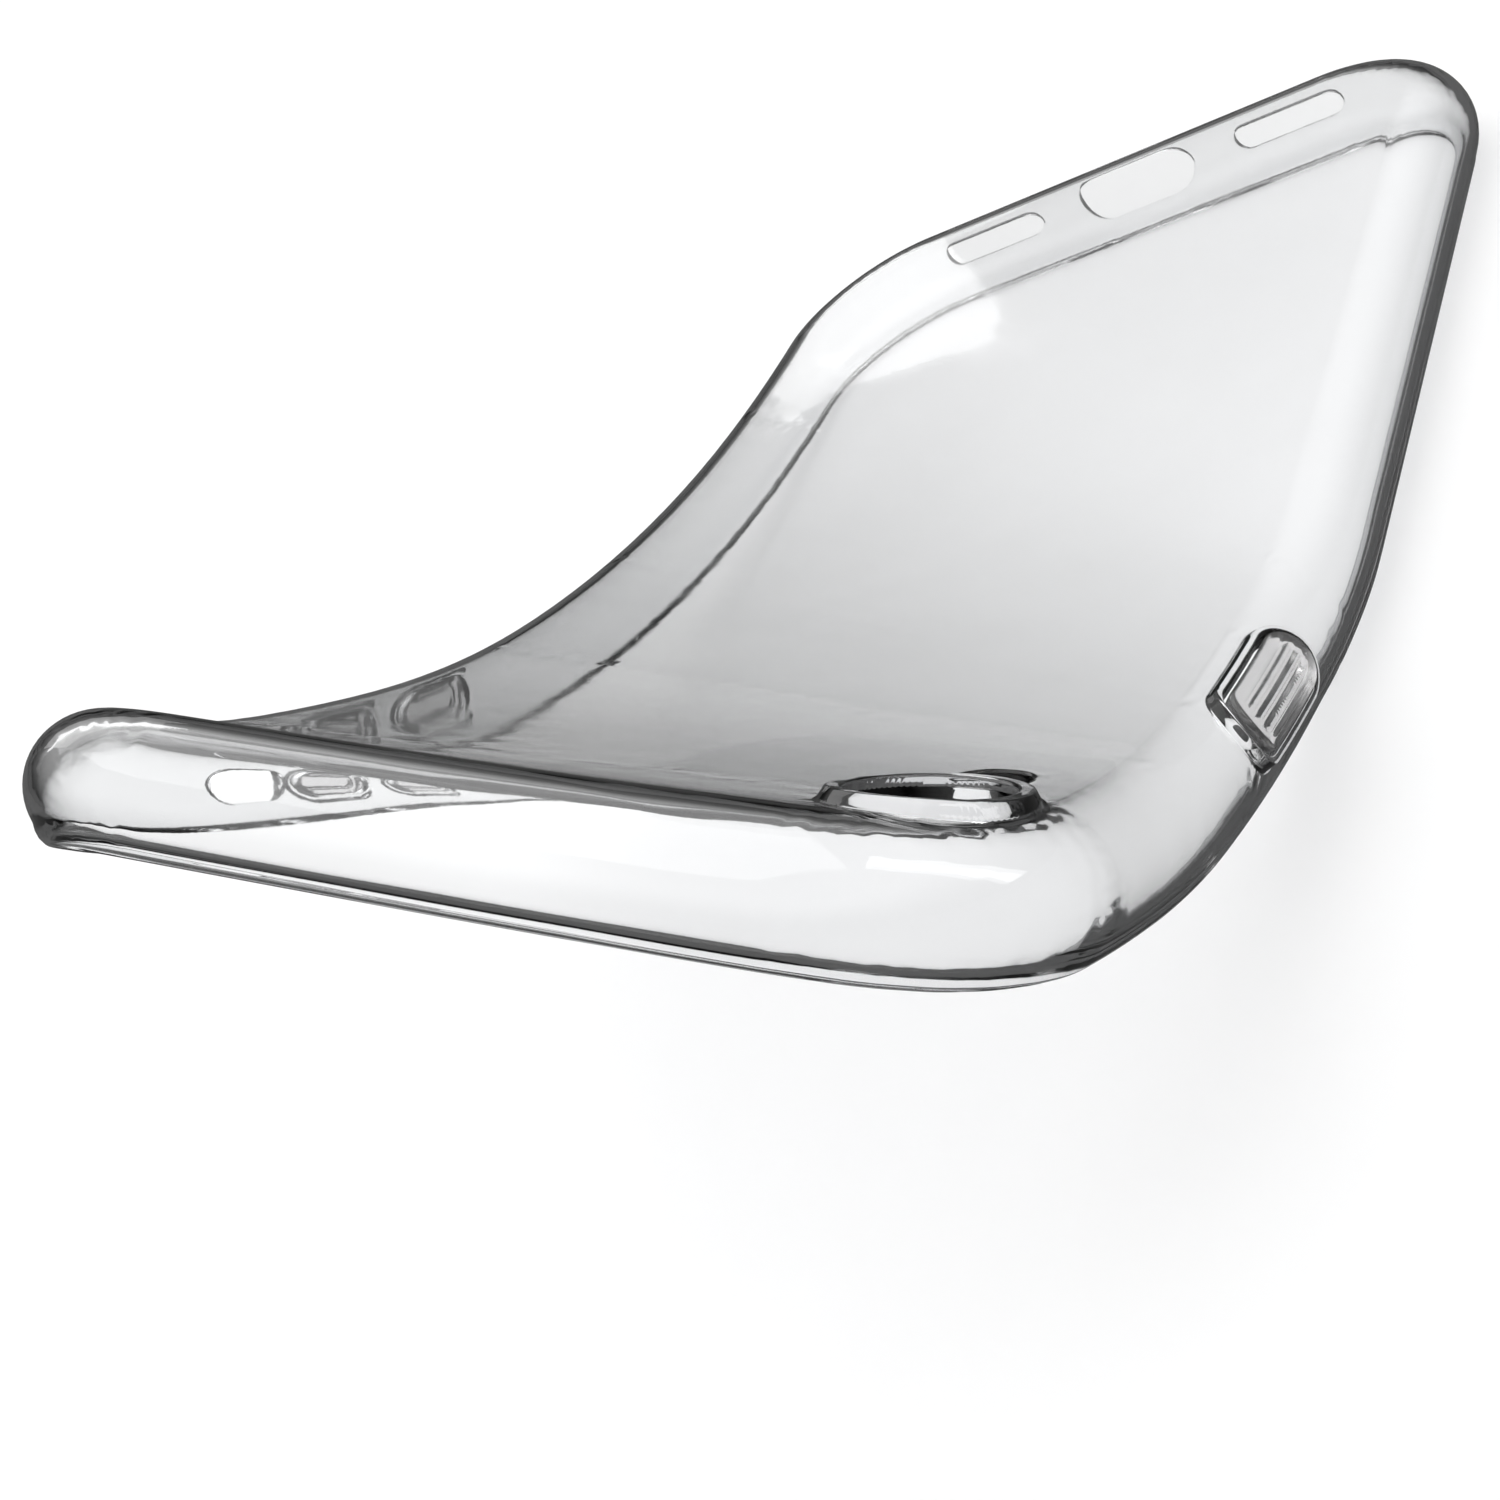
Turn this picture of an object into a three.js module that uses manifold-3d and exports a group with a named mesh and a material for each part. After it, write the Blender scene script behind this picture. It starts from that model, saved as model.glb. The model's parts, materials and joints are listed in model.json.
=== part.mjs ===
import * as THREE from 'three';
import { mergeVertices } from 'three/addons/utils/BufferGeometryUtils.js';
import Module from 'manifold-3d';

// A clear, flexible phone case, held bent with its camera end lifted off the phone.
//
// The case is designed flat, in "flat" coordinates: millimetres from the centre of the phone it fits,
// +X towards the side button, -X towards the volume buttons, -Y towards the camera end,
// +Y towards the charging-port end and +Z out of the back. It is cut along slanting crease lines,
// and each strip is then turned about its creases into the bent shape it is stored in.
// The finished group's origin is the seat: a point of the back panel's inner face, near the port end.

// The phone that the case fits.
const PHONE_WIDTH = 75.7;
const PHONE_LENGTH = 150.9;
const PHONE_THICKNESS = 8.3;

// The moulding. Its side walls follow the phone's half-round edge.
const WALL = 1.0;
const EDGE_RADIUS = PHONE_THICKNESS / 2 + 0.05;
const OUTER_RADIUS = EDGE_RADIUS + WALL - 0.05;
const CORNER_RADIUS = 15;
const LIP_ANGLE = -60;
const ARC_STEP = 15;
const CORNER_STEPS = 9;
const GAP = 0.3;
const SEAT_Y = 50;

// Each end wall is a straight middle and two corners, which meet this far from the middle line.
const CORNER_X = 25;

// Centre line of the half-round wall, and the back panel's two faces.
const LINE_X = PHONE_WIDTH / 2 - PHONE_THICKNESS / 2;
const LINE_Y = PHONE_LENGTH / 2 - PHONE_THICKNESS / 2;
const LINE_RADIUS = CORNER_RADIUS - PHONE_THICKNESS / 2;
const PANEL_INSIDE = PHONE_THICKNESS / 2;
const PANEL_OUTSIDE = PANEL_INSIDE + WALL;

// Crease lines: where each crosses the volume side and the power side, and its bend in degrees.
const CREASE_HALF_SPAN = 39;
const CREASE_Z = (PANEL_INSIDE + PANEL_OUTSIDE) / 2;
const CREASE_GAP = 0.4;
const CREASES = [
  { volumeSide: 64.5, powerSide: -10, bend: 8 },
  { volumeSide: 30.5, powerSide: -18.5, bend: 11 },
  { volumeSide: -2, powerSide: -42, bend: 11 },
  { volumeSide: -24.5, powerSide: -53, bend: 10.5 },
  { volumeSide: -57, powerSide: -75, bend: 17.5 },
];

// Camera collar and the opening for the flash and microphone.
const CAMERA_X = 27.3;
const CAMERA_Y = -63.2;
const COLLAR_INNER = 5.4;
const COLLAR_OUTER = 6.9;
const COLLAR_HEIGHT = 0.9;
const FLASH_Y = -53.1;
const FLASH_LENGTH = 5.8;
const FLASH_WIDTH = 5.2;

// Button covers, each in a raised frame. tilt is how far the cover is turned up round the wall.
const FRAME_RIM = 1.0;
const FRAME_HEIGHT = 0.6;
const COVER_HEIGHT = 1.0;
const COVER_ROOT = 4.3;
const FRAME_ROOT = 3.45;
const BUTTONS = {
  side_button_cover: { side: 1, y: -28.2, length: 13.6, width: 4.4, tilt: 30, strip: 2 },
  volume_down_cover: { side: -1, y: -17.3, length: 9.2, width: 4.2, tilt: 0, strip: 3 },
  volume_up_cover: { side: -1, y: -31.1, length: 9.2, width: 4.2, tilt: 0, strip: 4 },
};

// Plain openings in the walls.
const MUTE = { y: -42.6, length: 9, width: 5 };
const PORT = { length: 13, width: 6.2 };
const SPEAKER = { x: 17.5, length: 12, width: 3 };

const CLEAR = { color: 0xe9edf0, roughness: 0.08, metalness: 0, transparent: true, opacity: 0.35 };
const COLLAR = { color: 0xcfd4d8, roughness: 0.05, metalness: 0, transparent: true, opacity: 0.45 };
const COVER = { color: 0xc9c6c6, roughness: 0.3, metalness: 0, transparent: true, opacity: 0.5 };

const wasm = await Module();
wasm.setup();

const degrees = (angle) => THREE.MathUtils.degToRad(angle);

function toSolid(geometry, matrix = new THREE.Matrix4()) {
  const bare = geometry.clone().applyMatrix4(matrix);
  bare.deleteAttribute('normal');
  bare.deleteAttribute('uv');
  const merged = mergeVertices(bare, 1e-4);
  return new wasm.Manifold(new wasm.Mesh({
    numProp: 3,
    vertProperties: new Float32Array(merged.attributes.position.array),
    triVerts: new Uint32Array(merged.index.array),
  }));
}

function toGeometry(solid) {
  const mesh = solid.getMesh();
  const geometry = new THREE.BufferGeometry();
  geometry.setAttribute('position', new THREE.BufferAttribute(mesh.vertProperties, 3));
  geometry.setIndex(new THREE.BufferAttribute(mesh.triVerts, 1));
  geometry.computeVertexNormals();
  return geometry;
}

// ---- Creases -------------------------------------------------------------------------------------

function creaseLine({ volumeSide, powerSide }) {
  const point = new THREE.Vector3(0, (volumeSide + powerSide) / 2, CREASE_Z);
  const direction = new THREE.Vector3(2 * CREASE_HALF_SPAN, powerSide - volumeSide, 0).normalize();
  return { point, direction };
}

// Turning about a crease lifts everything on its camera side.
function creaseTurn(crease) {
  const { point, direction } = creaseLine(crease);
  const turn = new THREE.Matrix4().makeRotationAxis(direction, -degrees(crease.bend));
  const there = new THREE.Matrix4().makeTranslation(point);
  const back = new THREE.Matrix4().makeTranslation(point.clone().negate());
  return there.multiply(turn).multiply(back);
}

// Place of each strip when the case is bent: strip 0 is the port end, and stays flat.
const STRIPS = [new THREE.Matrix4()];
for (const crease of CREASES) {
  STRIPS.push(STRIPS.at(-1).clone().multiply(creaseTurn(crease)));
}

// A block that fills one side of a crease plane: sign +1 is the port side, -1 the camera side.
function besideCrease(crease, sign) {
  const size = 400;
  const { point, direction } = creaseLine(crease);
  const across = new THREE.Vector3(-direction.y, direction.x, 0);
  const centre = point.clone().addScaledVector(across, sign * (size / 2 + CREASE_GAP / 2));
  const matrix = new THREE.Matrix4().makeBasis(direction, across, new THREE.Vector3(0, 0, 1));
  return toSolid(new THREE.BoxGeometry(size, size, size), matrix.setPosition(centre));
}

function cutToStrip(solid, strip) {
  let piece = solid;
  if (strip > 0) {
    piece = piece.intersect(besideCrease(CREASES[strip - 1], -1));
  }
  if (strip < CREASES.length) {
    piece = piece.intersect(besideCrease(CREASES[strip], 1));
  }
  return piece;
}

function keepBox(solid, [x0, x1], [y0, y1]) {
  const box = new THREE.BoxGeometry(x1 - x0, y1 - y0, 100);
  box.translate((x0 + x1) / 2, (y0 + y1) / 2, 0);
  return solid.intersect(toSolid(box));
}

// ---- Shapes --------------------------------------------------------------------------------------

function roundedRectangle(halfX, halfY, radius) {
  const shape = new THREE.Shape();
  shape.absarc(halfX - radius, halfY - radius, radius, 0, Math.PI / 2);
  shape.absarc(radius - halfX, halfY - radius, radius, Math.PI / 2, Math.PI);
  shape.absarc(radius - halfX, radius - halfY, radius, Math.PI, 1.5 * Math.PI);
  shape.absarc(halfX - radius, radius - halfY, radius, 1.5 * Math.PI, 2 * Math.PI);
  shape.closePath();
  return shape;
}

// A slot with round ends, long along X, centred on the origin.
function oblong(length, width) {
  const shape = new THREE.Shape();
  const radius = width / 2;
  shape.absarc(length / 2 - radius, 0, radius, -Math.PI / 2, Math.PI / 2);
  shape.absarc(radius - length / 2, 0, radius, Math.PI / 2, 1.5 * Math.PI);
  shape.closePath();
  return shape;
}

function prism(shape, from, to, curveSegments = 6) {
  const options = { depth: to - from, bevelEnabled: false, curveSegments };
  return new THREE.ExtrudeGeometry(shape, options).translate(0, 0, from);
}

// Stations along the wall's centre line, once round: place and outward direction.
function wallStations() {
  const stations = [];
  const straightX = LINE_X - LINE_RADIUS;
  const straightY = LINE_Y - LINE_RADIUS;
  const centres = [[straightX, straightY], [-straightX, straightY], [-straightX, -straightY], [straightX, -straightY]];
  centres.forEach(([x, y], corner) => {
    for (let step = 0; step <= CORNER_STEPS; step += 1) {
      const angle = (corner + step / CORNER_STEPS) * Math.PI / 2;
      const outward = new THREE.Vector3(Math.cos(angle), Math.sin(angle), 0);
      const place = new THREE.Vector3(x, y, 0).addScaledVector(outward, LINE_RADIUS);
      stations.push({ place, outward });
    }
  });
  return stations;
}

// The wall's hooked cross-section, as [outward, up] points: out along the outer arc, back along the inner.
function wallSection() {
  const section = [];
  for (let angle = LIP_ANGLE; angle <= 90; angle += ARC_STEP) {
    section.push([OUTER_RADIUS * Math.cos(degrees(angle)), OUTER_RADIUS * Math.sin(degrees(angle))]);
  }
  for (let angle = 90; angle >= LIP_ANGLE; angle -= ARC_STEP) {
    section.push([EDGE_RADIUS * Math.cos(degrees(angle)), EDGE_RADIUS * Math.sin(degrees(angle))]);
  }
  return section;
}

// The whole side wall as one closed ring: the section carried round the stations.
function wallRing() {
  const stations = wallStations();
  const section = wallSection();
  const positions = [];
  const indices = [];
  stations.forEach(({ place, outward }, i) => {
    const next = (i + 1) % stations.length;
    section.forEach(([out, up], j) => {
      positions.push(place.x + outward.x * out, place.y + outward.y * out, up);
      const after = (j + 1) % section.length;
      const a = i * section.length + j;
      const b = next * section.length + j;
      const c = next * section.length + after;
      const d = i * section.length + after;
      indices.push(a, b, c, a, c, d);
    });
  });
  const geometry = new THREE.BufferGeometry();
  geometry.setAttribute('position', new THREE.Float32BufferAttribute(positions, 3));
  geometry.setIndex(indices);
  return geometry;
}

// Frame of a feature on the wall: local X runs along the wall and local Z points outward.
function onWall(place, outward, along) {
  const across = new THREE.Vector3().crossVectors(outward, along);
  return new THREE.Matrix4().makeBasis(along, across, outward).setPosition(place);
}

function onSideWall(side, y, tilt = 0) {
  const outward = new THREE.Vector3(side * Math.cos(degrees(tilt)), 0, Math.sin(degrees(tilt)));
  return onWall(new THREE.Vector3(side * LINE_X, y, 0), outward, new THREE.Vector3(0, 1, 0));
}

function onPortWall(x) {
  return onWall(new THREE.Vector3(x, LINE_Y, 0), new THREE.Vector3(0, 1, 0), new THREE.Vector3(1, 0, 0));
}

function cutSlot(wall, { length, width }, matrix) {
  return wall.subtract(toSolid(prism(oblong(length, width), 2, 9), matrix));
}

// ---- Sub-parts, made flat ------------------------------------------------------------------------

// Room for the collar, which reaches the rounded corner, so it is cut from the panel and the wall.
function collarRoom() {
  const radius = COLLAR_OUTER + GAP;
  const depth = 10;
  const room = new THREE.CylinderGeometry(radius, radius, depth, 40).rotateX(Math.PI / 2);
  return toSolid(room.translate(CAMERA_X, CAMERA_Y, depth / 2));
}

function backPanel() {
  const shape = roundedRectangle(LINE_X - GAP, LINE_Y - GAP, LINE_RADIUS - GAP);
  const panel = toSolid(prism(shape, PANEL_INSIDE, PANEL_OUTSIDE, 8));
  const flash = prism(oblong(FLASH_LENGTH, FLASH_WIDTH), 0, 9).rotateZ(Math.PI / 2);
  return panel.subtract(collarRoom()).subtract(toSolid(flash.translate(CAMERA_X, FLASH_Y, 0)));
}

function wallWithFeatures() {
  let wall = toSolid(wallRing()).subtract(collarRoom());
  for (const { side, y, length, width, tilt } of Object.values(BUTTONS)) {
    const matrix = onSideWall(side, y, tilt);
    const rim = prism(oblong(length + 2 * FRAME_RIM, width + 2 * FRAME_RIM), FRAME_ROOT, OUTER_RADIUS + FRAME_HEIGHT);
    wall = wall.add(toSolid(rim, matrix));
    wall = cutSlot(wall, { length: length + 2 * GAP, width: width + 2 * GAP }, matrix);
  }
  wall = cutSlot(wall, MUTE, onSideWall(-1, MUTE.y));
  wall = cutSlot(wall, PORT, onPortWall(0));
  wall = cutSlot(wall, SPEAKER, onPortWall(-SPEAKER.x));
  return cutSlot(wall, SPEAKER, onPortWall(SPEAKER.x));
}

function buttonCover({ side, y, length, width, tilt }) {
  const cover = prism(oblong(length, width), COVER_ROOT, OUTER_RADIUS + COVER_HEIGHT);
  return toSolid(cover, onSideWall(side, y, tilt));
}

function cameraCollar() {
  const top = PANEL_OUTSIDE + COLLAR_HEIGHT;
  const profile = [
    [COLLAR_INNER, PANEL_INSIDE],
    [COLLAR_OUTER, PANEL_INSIDE],
    [COLLAR_OUTER, PANEL_OUTSIDE],
    [COLLAR_OUTER - 0.4, top],
    [COLLAR_INNER + 0.3, top],
    [COLLAR_INNER, top - 0.3],
    [COLLAR_INNER, PANEL_INSIDE],
  ];
  const collar = new THREE.LatheGeometry(profile.map(([r, z]) => new THREE.Vector2(r, z)), 40);
  const upright = new THREE.Matrix4().makeRotationX(Math.PI / 2).setPosition(CAMERA_X, CAMERA_Y, 0);
  return toSolid(collar, upright);
}

// ---- The case ------------------------------------------------------------------------------------

const phoneCase = new THREE.Group();
phoneCase.name = 'phone_case';
phoneCase.position.set(0, -SEAT_Y, -PANEL_INSIDE);

function addPart(name, solid, strip, look) {
  const mesh = new THREE.Mesh(toGeometry(solid), new THREE.MeshStandardMaterial(look));
  mesh.name = name;
  mesh.applyMatrix4(STRIPS[strip]);
  phoneCase.add(mesh);
}

const LAST = CREASES.length;
const FAR = 200;
const CORNER_Y = LINE_Y - LINE_RADIUS;
const END_SPANS = {
  wall: [-CORNER_X, CORNER_X],
  corner_power: [CORNER_X + GAP, FAR],
  corner_volume: [-FAR, -CORNER_X - GAP],
};
const panel = backPanel();
const wall = wallWithFeatures();

for (let strip = 0; strip <= LAST; strip += 1) {
  addPart(`back_panel_${strip}`, cutToStrip(panel, strip), strip, CLEAR);
}

for (const [name, span] of Object.entries(END_SPANS)) {
  addPart(`port_end_${name}`, cutToStrip(keepBox(wall, span, [CORNER_Y, FAR]), 0), 0, CLEAR);
}
addPart('power_wall_0', cutToStrip(keepBox(wall, [0, FAR], [-FAR, CORNER_Y - GAP]), 0), 0, CLEAR);
for (let strip = 1; strip < LAST; strip += 1) {
  addPart(`power_wall_${strip}`, cutToStrip(keepBox(wall, [0, FAR], [-FAR, CORNER_Y]), strip), strip, CLEAR);
  addPart(`volume_wall_${strip}`, cutToStrip(keepBox(wall, [-FAR, 0], [-FAR, FAR]), strip), strip, CLEAR);
}
for (const [name, span] of Object.entries(END_SPANS)) {
  addPart(`camera_end_${name}`, cutToStrip(keepBox(wall, span, [-FAR, FAR]), LAST), LAST, CLEAR);
}

addPart('camera_collar', cameraCollar(), LAST - 1, COLLAR);
for (const [name, button] of Object.entries(BUTTONS)) {
  addPart(name, buttonCover(button), button.strip, COVER);
}

export default phoneCase;
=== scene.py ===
import json
import math

import bpy
import numpy as np
from mathutils import Matrix, Vector
from mathutils.geometry import delaunay_2d_cdt


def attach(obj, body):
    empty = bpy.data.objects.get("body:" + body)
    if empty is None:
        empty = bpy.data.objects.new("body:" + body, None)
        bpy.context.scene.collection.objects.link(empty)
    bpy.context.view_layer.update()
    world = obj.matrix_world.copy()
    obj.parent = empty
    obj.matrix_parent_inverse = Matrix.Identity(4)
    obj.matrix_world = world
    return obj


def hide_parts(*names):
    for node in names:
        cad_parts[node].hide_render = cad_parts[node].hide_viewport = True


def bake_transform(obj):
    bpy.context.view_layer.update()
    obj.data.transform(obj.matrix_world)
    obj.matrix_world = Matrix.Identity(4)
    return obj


# A clear, flexible phone case, held bent with its camera end lifted.
#
# The moulding is drawn as a flat sheet: a plan in millimetres from the centre of the phone, whose
# middle is the back panel and whose border rolls down round the phone's half-round edge. The plan is
# meshed once, given an outside and an inside, and bent smoothly between the frame's crease hinges.
# It is then shared out between pieces that each bend across one hinge.

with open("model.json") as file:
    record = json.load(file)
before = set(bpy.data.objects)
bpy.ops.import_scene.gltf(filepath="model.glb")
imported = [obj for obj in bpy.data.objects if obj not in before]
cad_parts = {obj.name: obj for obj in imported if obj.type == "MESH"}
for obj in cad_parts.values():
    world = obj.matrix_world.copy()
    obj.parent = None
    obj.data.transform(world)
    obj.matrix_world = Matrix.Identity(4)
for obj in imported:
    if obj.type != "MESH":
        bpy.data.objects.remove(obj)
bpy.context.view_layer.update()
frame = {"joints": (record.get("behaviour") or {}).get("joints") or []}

MM = 0.001

# The phone's seat in plan coordinates, which is the frame's origin.
SEAT = np.array([0.0, 50.0, 4.15])

# Centre line of the rolled border, and the section of the moulding.
LINE_X = 33.7
LINE_Y = 71.3
LINE_RADIUS = 10.85
INSIDE_RADIUS = 4.15
WALL = 1.0
ROLL_RADIUS = 5.0
ROLL_ANGLE = math.radians(150)
ROLL_WIDTH = ROLL_RADIUS * ROLL_ANGLE
BEAD_HEIGHT = 0.3
BEAD_WIDTH = 1.7
BEAD_SLOPE = 1.1
LIP_REACH = 0.62
RIM_FILLET = 0.25

# Spacing of the plan's mesh points.
ROW_STEP = 0.52
INNER_ROWS = (-1.9, -1.2, -0.55)
SIDE_STEP = 1.1
CORNER_STEPS = 26
PANEL_STEP = 1.6
LOOP_STEP = 0.42
SEAM_STEP = 0.4
SEAM_STAND_OFF = 0.6
CLEARANCE = 0.4

# Camera collar and the opening beside it.
LENS = np.array([27.3, -63.2])
COLLAR_INNER = 5.4
COLLAR_OUTER = 6.9
COLLAR_HEIGHT = 0.95
COLLAR_SHOULDER = 0.55
COLLAR_SLOPE = 0.65
COLLAR_CUT = 7.15
FLASH = np.array([27.3, -53.1])
FLASH_LENGTH = 5.8
FLASH_WIDTH = 5.2
FLASH_SIDE = 7.65

# Button covers and the raised frames round them.
PAD_GAP = 0.3
PAD_HEIGHT = 2.0
PAD_INSIDE = 0.15
PAD_FILLET = 0.4
PAD_RINGS = (0.15, 0.3, 0.45, 0.6, 0.75, 0.9, 1.05)
PAD_STEP_ALONG = 0.4
PAD_STEP_ACROSS = 0.12
RIB_PITCH = 0.72
RIB_DEPTH = 0.2
RIB_INSET = 0.75
GROOVE_INSET = 0.95
GROOVE_WIDTH = 0.16
GROOVE_DEPTH = 0.28
PILL_HEIGHT = 0.12
PILL_SINK = 0.1
PILL_INSET = 1.0
RELIEF_SLOPE = 0.3
FRAME_HEIGHT = 0.65
FRAME_WIDTH = 1.0
FRAME_SHOULDER = 0.45
FRAME_SLOPE = 0.4

# Buttons and openings in the walls: place along the wall, length and width. Speakers come in a pair.
SIDE_BUTTON = (-28.2, 13.6, 4.4)
SIDE_BUTTON_TILT = 30
VOLUME_DOWN = (-17.3, 9.2, 4.2)
VOLUME_UP = (-31.1, 9.2, 4.2)
MUTE = (-42.6, 9.0, 5.0)
PORT = (0, 13.0, 6.2)
SPEAKERS = [(-17.5, 12.0, 3.0), (17.5, 12.0, 3.0)]

# Distances outward from an opening's rim to the rings of mesh points round it.
FRAME_RINGS = (0.25, 0.5, 0.75, 0.95, 1.15)
OPENING_RINGS = (0.3, 0.6)
COLLAR_RINGS = (0.2, 0.4, 0.6, 0.8, 1.0, 1.15, 1.3)

# Crease lines end at this distance from the centre line on each side.
CREASE_HALF_SPAN = 39.0
CREASE_DEPTH = 4.65
BEND_STEPS = 8

# How widely each hinge's bend is spread, as a share of the way to the next hinge.
SPREADS = (1.0, 1.0, 1.0, 1.0, 0.6)

# Where each piece of shell ends, as plan places on the volume side and on the power side.
SPLITS = [(47.5, -14.2), (14.2, -37.4), (-9.8, -47.5), (-49.5, -64.0)]

# The floor's height in millimetres and its size in metres. The floor that the plastic sees as bright
# ends between the two distances of the bright field from the middle, also in metres.
FLOOR_Z = -9.0
FLOOR_SIZE = 8
BRIGHT_FIELD = (0.16, 0.42)
# Painted dark reflection colour: the floor far off and in the plastic's reflections is painted this
# dark for the plastic alone, to draw its edges dark.
PAINTED_DARK_REFLECTION_COLOUR = (0.1, 0.1, 0.1, 1)
FLOOR_TONES = (0.90, 0.93)

# What a shadow ray keeps at each face of the plastic.
SHADOW_TINT = (0.93, 0.93, 0.935, 1)

# How bright the surroundings are to the plastic, by the height of the direction it looks in.
SURROUNDINGS = [(0.0, 0.02), (0.12, 0.05), (0.3, 0.4), (0.55, 1.0), (1.0, 1.0)]


# ---- Small helpers ------------------------------------------------------------------------------

def smooth(x):
    """A smooth step from 0 to 1."""
    x = np.clip(x, 0, 1)
    return x * x * (3 - 2 * x)


def turn_about(point, direction, angle):
    """4x4 rotation about a line, as numpy."""
    there = Matrix.Translation(Vector(point))
    back = Matrix.Translation(-Vector(point))
    return np.array(there @ Matrix.Rotation(angle, 4, Vector(direction)) @ back)


def moved(matrix, points):
    """Points carried by a 4x4 matrix."""
    return points @ matrix[:3, :3].T + matrix[:3, 3]


# ---- The bend -----------------------------------------------------------------------------------

def hinge_joints():
    """The frame's crease hinges, from the port end."""
    joints = [j for j in frame["joints"] if j["name"].startswith("flex_")]
    return sorted(joints, key=lambda j: j["name"])


def hinge_frames():
    """Each hinge's line in the flat case, as places on the volume side and power side, with its bend
    and, in the bent case, the way across it towards the camera end, halfway through the bend."""
    flatten = np.eye(4)
    frames = []
    for joint in hinge_joints():
        bend = math.radians(-joint["range_deg"][0])
        place = np.array(joint["pos_m"]) / MM
        point = moved(flatten, place[None])[0] + SEAT
        along = flatten[:3, :3] @ np.array(joint["axis"])
        slope = along[1] / along[0]
        middle = point[1] - point[0] * slope
        left = middle - CREASE_HALF_SPAN * slope
        right = middle + CREASE_HALF_SPAN * slope
        across = np.array([math.sin(math.atan(slope)), -math.cos(math.atan(slope)), 0])
        halfway = Matrix.Rotation(bend / 2, 3, Vector(joint["axis"]))
        towards = halfway @ Vector(flatten[:3, :3].T @ across)
        frames.append((left, right, bend, towards))
        flatten = flatten @ turn_about(place, joint["axis"], -bend)
    return frames


def spread_creases():
    """Many small creases that share out the hinges' bends evenly: middle, angle and bend of each."""
    left, right, bends = (np.array(column) for column in list(zip(*hinge_frames()))[:3])
    count = len(bends)
    knots = np.arange(-1, count + 1)
    left = np.concatenate([[2 * left[0] - left[1]], left, [2 * left[-1] - left[-2]]])
    right = np.concatenate([[2 * right[0] - right[1]], right, [2 * right[-1] - right[-2]]])
    steps = -1 + (np.arange((count + 1) * BEND_STEPS) + 0.5) / BEND_STEPS
    share = np.zeros(len(steps))
    for k, (bend, spread) in enumerate(zip(bends, SPREADS)):
        near = np.abs(steps - k) / spread
        bump = np.where(near < 1, (1 + np.cos(np.pi * near)) / 2, 0)
        share += bend * bump / bump.sum()
    at_left = np.interp(steps, knots, left)
    at_right = np.interp(steps, knots, right)
    slopes = np.arctan((at_right - at_left) / (2 * CREASE_HALF_SPAN))
    return (at_left + at_right) / 2, slopes, share


MIDDLES, SLOPES, SHARES = spread_creases()


def crease_turn(j):
    """The whole turn of small crease j."""
    direction = (math.cos(SLOPES[j]), math.sin(SLOPES[j]), 0)
    return turn_about((0, MIDDLES[j], CREASE_DEPTH), direction, -SHARES[j])


def bent(flat):
    """Flat places in millimetres, moved to the bent case in the frame's metres."""
    lines = MIDDLES[None] + flat[:, :1] * np.tan(SLOPES)[None]
    passed = np.cumprod(flat[:, 1:2] < lines, axis=1).sum(axis=1)
    out = np.empty_like(flat)
    place = np.eye(4)
    for j in range(len(MIDDLES) + 1):
        here = passed == j
        points = flat[here]
        if j < len(MIDDLES) and len(points):
            after = lines[here, j]
            before = 2 * after - lines[here, 1] if j == 0 else lines[here, j - 1]
            part = np.clip((before - points[:, 1]) / (before - after), 0, 1)
            points = turned_in_part(points, j, part)
        out[here] = moved(place, points)
        if j < len(MIDDLES):
            place = place @ crease_turn(j)
    return (out - SEAT) * MM


def turned_in_part(points, j, part):
    """Turns each point about small crease j by its own part of that crease's bend."""
    axis = np.array([math.cos(SLOPES[j]), math.sin(SLOPES[j]), 0])
    pivot = np.array([0, MIDDLES[j], CREASE_DEPTH])
    arm = points - pivot
    angle = (-SHARES[j] * part)[:, None]
    along = (arm @ axis)[:, None] * axis
    turned = arm * np.cos(angle) + np.cross(axis, arm) * np.sin(angle) + along * (1 - np.cos(angle))
    return pivot + turned


# ---- The plan -----------------------------------------------------------------------------------

def border(points):
    """How far each plan point is outside the centre line, and the outward direction there."""
    core = np.array([LINE_X - LINE_RADIUS, LINE_Y - LINE_RADIUS])
    past = np.abs(points) - core
    reach = np.maximum(past, 0)
    length = np.linalg.norm(reach, axis=1)
    distance = length + np.minimum(past.max(axis=1), 0) - LINE_RADIUS
    outward = reach / np.maximum(length, 1e-9)[:, None] * np.sign(points)
    return distance, outward


def rolled(points, height):
    """The flat case's surface over plan points, at a height above the moulding's inside face."""
    distance, outward = border(points)
    out = np.maximum(distance, 0)[:, None]
    angle = out / ROLL_RADIUS
    radius = (INSIDE_RADIUS + height)[:, None]
    place = points - outward * out + outward * radius * np.sin(angle)
    return np.hstack([place, radius * np.cos(angle)])


def outline(offset, step):
    """The rounded outline, offset outward, as points once round."""
    radius = LINE_RADIUS + offset
    core = np.array([LINE_X - LINE_RADIUS, LINE_Y - LINE_RADIUS])
    corners = np.array([(1, 1), (-1, 1), (-1, -1), (1, -1)]) * core
    points = []
    for k, centre in enumerate(corners):
        for angle in np.linspace(k, k + 1, CORNER_STEPS + 1) * np.pi / 2:
            points.append(centre + radius * np.round([math.cos(angle), math.sin(angle)], 12))
        arc_end = points[-1]
        straight = corners[(k + 1) % 4] - centre
        count = int(np.abs(straight).max() / step)
        for i in range(1, count):
            points.append(arc_end + straight * i / count)
    return np.array(points)


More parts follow.
